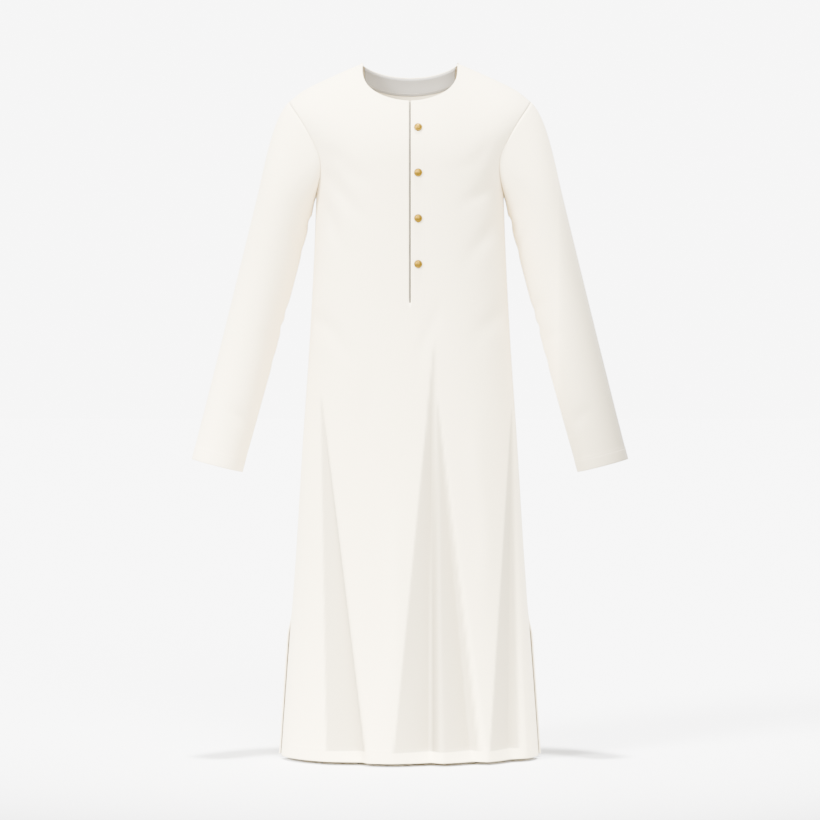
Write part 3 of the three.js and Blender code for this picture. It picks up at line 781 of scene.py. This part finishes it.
# ------------------------------------------------------------------- placket
# A strip of cotton is folded inside each edge of the opening: a white one on the wearer's left carries the
# buttons, and a near black one on the wearer's right runs on behind it, so that nothing shows through the opening.
# Its near black colour is painted shade for the slot of the opening.
STRIP_CLOTH = 0.0013
STRIP_ROWS, STRIP_TOP_DROP = 66, 0.0008
PLACKET_BOTTOM_Z = -0.420
# The under placket lies right under the front at its edge, and sinks below the top placket over a few columns.
UNDER_EDGE_X, UNDER_FOLD_X, UNDER_NARROWER = -0.0135, -0.0015, 0.0005
UNDER_SINKS = 4
# Painted shade: the under placket is coloured near black to stand for the shadow in the slot of the opening.
placket_shadow_cotton = cotton_finish("near black placket shadow cotton", (0.060, 0.054, 0.047))


def strip_point(x, z, below):
    """A point that lies inside the front, so far below its middle surface."""
    return body_point("front", x, z) - body_normal("front", x, z) * below


def strip_rows(columns):
    """Rows down the opening. A column is its place across, and how far below the front it lies."""
    return [
        [strip_point(x, lerp(top_edge("front", x) - STRIP_TOP_DROP, PLACKET_BOTTOM_Z, share), below)
         for x, below in columns]
        for share in spaced(0, 1, STRIP_ROWS)
    ]


one_below = CLOTH / 2 + SEAM_GAP + STRIP_CLOTH / 2
two_below = one_below + STRIP_CLOTH + SEAM_GAP
strips = {
    "top_placket": [(x, one_below) for x in STRAIGHT_COLUMNS["front"]],
    "under_placket": [
        (x, lerp(one_below, two_below, smooth(k, 0, UNDER_SINKS)))
        for k, x in enumerate(spaced(UNDER_EDGE_X, UNDER_FOLD_X, 5))
    ] + [(x, two_below) for x in spaced(OPENING_HALF, OPENING_HALF + PLACKET_WIDTH - UNDER_NARROWER, 8)],
}
for name, columns in strips.items():
    rows = strip_rows(columns)
    uvs = cloth_lengths(rows, 0)
    cotton = placket_shadow_cotton if name == "under_placket" else white_cotton
    piece = grid_piece(name + "_cloth", cotton, rows, uvs, wall=STRIP_CLOTH)
    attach(piece, "root")
    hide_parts(name)
    width, length = flat_size(uvs)
    round(flat_area(rows), 4)


# ------------------------------------------------------------------- neck facing
# A shaped cotton facing is sewn inside the back neck, from one shoulder seam to the other, and hides the
# neckline's raw edge. It is grey, partly its own colour and partly painted shade for the inside of the neck.
FACING_HALF = 0.0775
FACING_DEPTH, FACING_TOP_DROP = 0.0285, 0.0006
FACING_EDGE, FACING_EDGE_GAP = 0.0005, 0.0001
FACING_COLUMNS = 48
FACING_STEPS = [0, 0.12, 0.25, 0.4, 0.55, 0.7, 0.82, 0.9, 0.95, 0.98, 1]
FACING_THINS, FACING_SINKS = 0.85, 0.8
# Partly painted shade: the facing's grey darkens it as the shade inside the neck would.
grey_facing_and_shade_cotton = cotton_finish("grey facing cotton with painted shade", (0.45, 0.42, 0.368))


def facing_thickness(r, c):
    """The facing's lower edge is pressed thin against the back."""
    return lerp(STRIP_CLOTH, FACING_EDGE, smooth(FACING_STEPS[r], FACING_THINS, 1))


def facing_rows():
    rows = []
    for r, share in enumerate(FACING_STEPS):
        gap = lerp(SEAM_GAP, FACING_EDGE_GAP, smooth(share, FACING_SINKS, 1))
        below = CLOTH / 2 + gap + facing_thickness(r, 0) / 2
        line = []
        for across in spaced(1, -1, FACING_COLUMNS):
            x = FACING_HALF * math.sin(math.pi / 2 * across)
            z = top_edge("back", x) - FACING_TOP_DROP - FACING_DEPTH * share
            line.append(body_point("back", x, z) - body_normal("back", x, z) * below)
        rows.append(line)
    return rows


rows = facing_rows()
uvs = cloth_lengths(rows, 0)
facing = grid_piece("neck_facing_cloth", grey_facing_and_shade_cotton, rows, uvs, wall=STRIP_CLOTH, thickness=facing_thickness)
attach(facing, "root")
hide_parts("neck_facing")
width, length = flat_size(uvs)
round(flat_area(rows), 4)


# ------------------------------------------------------------------- topstitching
# Rows of machine stitches in cream cotton thread hold down the hem, the slits, the cuffs, the neck edge, the
# facing and the placket strips: each stitch is 2.4 mm long and the next starts 3.2 mm further on.
STITCH_LENGTH, STITCH_PITCH, THREAD = 0.0024, 0.0032, 0.00045
STITCH_TILT, TILT_TURN, STITCH_LIFT = 0.05, 2.4, 0.2
SLIT_STITCH_IN, NECK_STITCH_IN, ROW_END = 0.010, 0.005, 0.002
NECK_STITCH_GAP, NECK_STITCH_REACH = 0.03, 0.9999
FACING_STITCH = 0.86
PLACKET_STITCH_X = (-0.0125, OPENING_HALF + 0.0022, OPENING_HALF + PLACKET_WIDTH - 0.0018)
PLACKET_STITCH_Z = (PLACKET_BOTTOM_Z + 0.003, OPENING_BOTTOM_Z + 0.004)
PLACKET_STITCH_DROP, CROSS_ROW = 0.004, (OPENING_HALF + 0.001, OPENING_HALF + PLACKET_WIDTH - 0.002)
TURNED_GROOVE = (TURNED_EDGE - STITCH_DENT) / 2


def thread_finish():
    """Cream sewing thread, a little darker and silkier than the cloth, twisted finely along its length."""
    material = bpy.data.materials.new("cream thread")
    material.use_nodes = True
    nodes, links = material.node_tree.nodes, material.node_tree.links
    shader = nodes["Principled BSDF"]
    shader.inputs["Roughness"].default_value = 0.6
    shader.inputs["Sheen Weight"].default_value = 0.2
    place = nodes.new("ShaderNodeTexCoord")
    fibre = nodes.new("ShaderNodeTexNoise")
    fibre.inputs["Scale"].default_value = 2600
    fibre.inputs["Detail"].default_value = 2
    links.new(place.outputs["Object"], fibre.inputs["Vector"])
    tone = nodes.new("ShaderNodeMix")
    tone.data_type = "RGBA"
    tone.inputs["A"].default_value = (0.66, 0.575, 0.44, 1)
    tone.inputs["B"].default_value = (0.82, 0.73, 0.57, 1)
    links.new(fibre.outputs["Fac"], tone.inputs["Factor"])
    links.new(tone.outputs["Result"], shader.inputs["Base Color"])
    twist = nodes.new("ShaderNodeBump")
    twist.inputs["Strength"].default_value = 0.4
    twist.inputs["Distance"].default_value = 0.00008
    links.new(fibre.outputs["Fac"], twist.inputs["Height"])
    links.new(twist.outputs["Normal"], shader.inputs["Normal"])
    return material


def sew(bm, path):
    """Stitches along a path of points on the cloth's surface, each with its outward normal."""
    run, due, count = 0.0, STITCH_PITCH / 2, 0
    for (start, start_normal), (end, end_normal) in zip(path, path[1:]):
        span = (end - start).length
        while due <= run + span:
            share = (due - run) / span
            normal = start_normal.lerp(end_normal, share).normalized()
            along = (end - start).normalized()
            beside = normal.cross(along).normalized()
            along = (along + beside * STITCH_TILT * math.sin(TILT_TURN * count)).normalized()
            axes = (along * STITCH_LENGTH / 2, beside * THREAD / 2, normal * THREAD / 2)
            turn = Matrix([[axis[k] for axis in axes] for k in range(3)]).to_4x4()
            centre = start.lerp(end, share) + normal * THREAD * STITCH_LIFT
            bmesh.ops.create_icosphere(bm, subdivisions=1, radius=1, matrix=Matrix.Translation(centre) @ turn)
            due += STITCH_PITCH
            count += 1
        run += span


def on_panel(side, x, z, up=CLOTH / 2):
    normal = body_normal(side, x, z)
    return body_point(side, x, z) + normal * up, normal


def hem_paths():
    for side in ("front", "back"):
        z = HEM_Z + HEM_STITCH_UP
        half = panel_half(side, z) - ROW_END
        yield [on_panel(side, half * math.sin(turn), z, TURNED_GROOVE)
               for turn in spaced(-math.pi / 2, math.pi / 2, 200)]


def slit_paths():
    for side in ("front", "back"):
        for sign in (-1, 1):
            yield [on_panel(side, sign * (panel_half(side, z) - SLIT_STITCH_IN), z, TURNED_EDGE / 2)
                   for z in spaced(HEM_Z + ROW_END, SLIT_TOP_Z, 60)]


def neck_paths():
    """Round the neck edge, a few millimetres in from it, and along the facing's lower edge inside."""
    ends = (("front", -1, -NECK_STITCH_GAP), ("front", NECK_STITCH_GAP, 1), ("back", -1, 1))
    for side, first, last in ends:
        edge = []
        for across in spaced(first, last, 160):
            x = NECK_HALF * math.sin(math.pi / 2 * across) * NECK_STITCH_REACH
            edge.append(Vector((x, 0, top_edge(side, x))))
        path = []
        for before, place, after in zip(edge, edge[1:], edge[2:]):
            run = (after - before).normalized()
            inwards = Vector((run.z, 0, -run.x)) * NECK_STITCH_IN
            path.append(on_panel(side, place.x + inwards.x, place.z + inwards.z))
        yield path
    inside = []
    for x in spaced(ROW_END - FACING_HALF, FACING_HALF - ROW_END, 120):
        z = top_edge("back", x) - FACING_DEPTH * FACING_STITCH
        normal = body_normal("back", x, z)
        inside.append((body_point("back", x, z) - normal * (one_below + STRIP_CLOTH / 2), -normal))
    yield inside


def placket_paths():
    """Down both strips beside their edges, and twice across the foot of the top one."""
    for x in PLACKET_STITCH_X:
        top = top_edge("front", x) - PLACKET_STITCH_DROP
        yield [on_panel("front", x, z) for z in spaced(top, PLACKET_STITCH_Z[0], 90)]
    for z in PLACKET_STITCH_Z:
        yield [on_panel("front", x, z) for x in spaced(*CROSS_ROW, 12)]


def cuff_paths():
    share = 1 - CUFF_STITCH * CUFF_TURN / arm_length
    for sign in (1, -1):
        path = []
        for turn in spaced(0, 2 * math.pi, 120):
            out = arm_outwards(turn)
            point = arm_point(share, turn) + out * TURNED_GROOVE
            path.append((Vector((sign * point.x, point.y, point.z)), Vector((sign * out.x, out.y, out.z))))
        yield path


cream_thread = thread_finish()
for name, paths in (
    ("hem", hem_paths()), ("slit", slit_paths()), ("neck", neck_paths()),
    ("placket", placket_paths()), ("cuff", cuff_paths()),
):
    bm = bmesh.new()
    for path in paths:
        sew(bm, path)
    bmesh.ops.recalc_face_normals(bm, faces=bm.faces)
    stitching = object_from(bm, name + "_stitching", cream_thread)
    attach(stitching, "root")


# ------------------------------------------------------------------- buttons
# Four low brass domes with a rolled rim, each 14 mm across, down the middle of the top placket. The shank
# behind that would sew each on through the front is not built. The profile gives radius and height from the seat
# up.
BUTTON_COUNT, BUTTON_STEPS = 4, 40
BUTTON_FIRST_Z, BUTTON_PITCH = -0.1175, 0.076
BUTTON_X = OPENING_HALF + PLACKET_WIDTH / 2
BUTTON_PROFILE = [
    (0.0005, 0), (0.0058, 0), (0.0066, 0.0003), (0.00695, 0.0009), (0.0070, 0.0014), (0.00685, 0.0019),
    (0.0064, 0.00225), (0.0059, 0.0023), (0.0055, 0.00215), (0.0051, 0.0022), (0.0044, 0.0028), (0.0034, 0.0033),
    (0.0022, 0.0037), (0.0010, 0.00388), (0.0003, 0.0039),
]


def brass_finish():
    """Brass that has dulled a little, in soft clouds of darker and rougher metal."""
    material = bpy.data.materials.new("brass")
    material.use_nodes = True
    nodes, links = material.node_tree.nodes, material.node_tree.links
    shader = nodes["Principled BSDF"]
    shader.inputs["Metallic"].default_value = 0.9
    place = nodes.new("ShaderNodeTexCoord")
    cloud = nodes.new("ShaderNodeTexNoise")
    cloud.inputs["Scale"].default_value = 420
    cloud.inputs["Detail"].default_value = 3
    links.new(place.outputs["Object"], cloud.inputs["Vector"])
    ramp = nodes.new("ShaderNodeMix")
    ramp.data_type = "RGBA"
    ramp.inputs["A"].default_value = (0.130, 0.074, 0.002, 1)
    ramp.inputs["B"].default_value = (0.185, 0.106, 0.004, 1)
    links.new(cloud.outputs["Fac"], ramp.inputs["Factor"])
    links.new(ramp.outputs["Result"], shader.inputs["Base Color"])
    dull = nodes.new("ShaderNodeMapRange")
    dull.inputs["To Min"].default_value = 0.42
    dull.inputs["To Max"].default_value = 0.58
    links.new(cloud.outputs["Fac"], dull.inputs["Value"])
    links.new(dull.outputs["Result"], shader.inputs["Roughness"])
    return material


brass = brass_finish()
for number in range(BUTTON_COUNT):
    z = BUTTON_FIRST_Z - number * BUTTON_PITCH
    normal = body_normal("front", BUTTON_X, z)
    seat = body_point("front", BUTTON_X, z) + normal * (CLOTH / 2 + SEAM_GAP)
    bm = bmesh.new()
    outline = [bm.verts.new((radius, 0, height)) for radius, height in BUTTON_PROFILE]
    edges = [bm.edges.new(pair) for pair in zip(outline, outline[1:])]
    bmesh.ops.spin(bm, geom=outline + edges, cent=(0, 0, 0), axis=(0, 0, 1), angle=2 * math.pi,
                   steps=BUTTON_STEPS, use_merge=True)
    for height in (BUTTON_PROFILE[0][1], BUTTON_PROFILE[-1][1]):
        rim = [edge for edge in bm.edges if edge.is_boundary and abs(edge.verts[0].co.z - height) < NEARLY]
        bmesh.ops.contextual_create(bm, geom=rim)
    bmesh.ops.recalc_face_normals(bm, faces=bm.faces)
    turn = normal.to_track_quat("Z", "Y").to_matrix().to_4x4()
    bmesh.ops.transform(bm, matrix=Matrix.Translation(seat) @ turn, verts=bm.verts)
    button = object_from(bm, f"brass_button_{number + 1}", brass)
    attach(button, "root")
    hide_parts(f"button_{number + 1}")


# ------------------------------------------------------------------- floor, light and camera
# A pale floor 6 mm under the hem, with painted light in its colour: palest towards the lit backdrop, darker towards
# the camera and the sides. An even backdrop, soft studio light from the upper left of the view, the front and
# above, and the camera.
FLOOR_Z, FLOOR_HALF = HEM_Z - 0.006, 200
FADE_CENTRE_Y, FADE_START_Y, FADE_END_Y = -2, -1.5, -0.7
BACKDROP_FADE = (0.5, 0.88)
CAMERA = dict(lens=129.13, sensor_width=36, place=(0, -5.0, -0.588))
floor_material = bpy.data.materials.new("pale floor")
floor_material.use_nodes = True
nodes, links = floor_material.node_tree.nodes, floor_material.node_tree.links
floor_shader = nodes["Principled BSDF"]
floor_shader.inputs["Roughness"].default_value = 0.95
floor_shader.inputs["Specular IOR Level"].default_value = 0.1
place = nodes.new("ShaderNodeTexCoord")
from_front = nodes.new("ShaderNodeVectorMath")
from_front.inputs[1].default_value = (0, -FADE_CENTRE_Y, 0)
links.new(place.outputs["Object"], from_front.inputs[0])
aim = nodes.new("ShaderNodeVectorMath")
aim.operation = "NORMALIZE"
links.new(from_front.outputs[0], aim.inputs[0])
aim_parts = nodes.new("ShaderNodeSeparateXYZ")
links.new(aim.outputs[0], aim_parts.inputs[0])
towards_backdrop = nodes.new("ShaderNodeMapRange")
towards_backdrop.interpolation_type = "SMOOTHSTEP"
towards_backdrop.inputs["From Min"].default_value = BACKDROP_FADE[0]
towards_backdrop.inputs["From Max"].default_value = BACKDROP_FADE[1]
links.new(aim_parts.outputs["Y"], towards_backdrop.inputs["Value"])
place_parts = nodes.new("ShaderNodeSeparateXYZ")
links.new(place.outputs["Object"], place_parts.inputs[0])
behind_front = nodes.new("ShaderNodeMapRange")
behind_front.interpolation_type = "SMOOTHSTEP"
behind_front.inputs["From Min"].default_value = FADE_START_Y
behind_front.inputs["From Max"].default_value = FADE_END_Y
links.new(place_parts.outputs["Y"], behind_front.inputs["Value"])
# Painted light: the floor's colour is paler towards the bright part of the backdrop and behind a line in front of
# the hem.
painted_backdrop_light = nodes.new("ShaderNodeMath")
painted_backdrop_light.operation = "MULTIPLY"
links.new(towards_backdrop.outputs["Result"], painted_backdrop_light.inputs[0])
links.new(behind_front.outputs["Result"], painted_backdrop_light.inputs[1])
tone = nodes.new("ShaderNodeMapRange")
tone.inputs["To Min"].default_value = 0.195
tone.inputs["To Max"].default_value = 0.76
links.new(painted_backdrop_light.outputs[0], tone.inputs["Value"])
links.new(tone.outputs["Result"], floor_shader.inputs["Base Color"])
bm = bmesh.new()
bmesh.ops.create_grid(bm, x_segments=4, y_segments=4, size=FLOOR_HALF)
bmesh.ops.translate(bm, vec=(0, 0, FLOOR_Z), verts=bm.verts)
floor = object_from(bm, "floor", floor_material)

world = bpy.data.worlds.new("studio")
bpy.context.scene.world = world
world.use_nodes = True
nodes, links = world.node_tree.nodes, world.node_tree.links
direction = nodes.new("ShaderNodeTexCoord")
parts = nodes.new("ShaderNodeSeparateXYZ")
links.new(direction.outputs["Generated"], parts.inputs[0])
horizon = nodes.new("ShaderNodeMapRange")
horizon.interpolation_type = "SMOOTHSTEP"
horizon.inputs["From Min"].default_value = BACKDROP_FADE[0]
horizon.inputs["From Max"].default_value = BACKDROP_FADE[1]
horizon.inputs["To Min"].default_value = 2.3
horizon.inputs["To Max"].default_value = 8.0
links.new(parts.outputs["Y"], horizon.inputs["Value"])
above = nodes.new("ShaderNodeMapRange")
above.inputs["From Min"].default_value = -1
above.inputs["From Max"].default_value = 1
above.inputs["To Min"].default_value = 1.8
above.inputs["To Max"].default_value = 0.4
links.new(parts.outputs["X"], above.inputs["Value"])
fade = nodes.new("ShaderNodeMapRange")
fade.interpolation_type = "SMOOTHSTEP"
fade.inputs["From Min"].default_value = 0.14
fade.inputs["From Max"].default_value = 0.40
links.new(parts.outputs["Z"], fade.inputs["Value"])
links.new(horizon.outputs["Result"], fade.inputs["To Min"])
links.new(above.outputs["Result"], fade.inputs["To Max"])
nodes["Background"].inputs["Color"].default_value = (1, 1, 1, 1)
links.new(fade.outputs["Result"], nodes["Background"].inputs["Strength"])


def soft_light(name, azimuth, elevation, strength, spread):
    """A broad, even light from a direction: azimuth in degrees from the front, towards the left of the view."""
    lamp = bpy.data.lights.new(name, "SUN")
    lamp.energy = strength
    lamp.angle = math.radians(spread)
    holder = bpy.data.objects.new(name, lamp)
    holder.rotation_euler = (math.radians(90 - elevation), 0, math.radians(-azimuth))
    bpy.context.scene.collection.objects.link(holder)


soft_light("key", azimuth=46, elevation=30, strength=15, spread=18)
soft_light("front", azimuth=-12, elevation=24, strength=8, spread=30)
soft_light("top", azimuth=0, elevation=84, strength=20, spread=5)

camera_data = bpy.data.cameras.new("camera")
camera_data.lens = CAMERA["lens"]
camera_data.sensor_width = CAMERA["sensor_width"]
camera = bpy.data.objects.new("camera", camera_data)
camera.location = CAMERA["place"]
camera.rotation_euler = (math.pi / 2, 0, 0)
bpy.context.scene.collection.objects.link(camera)
bpy.context.scene.camera = camera
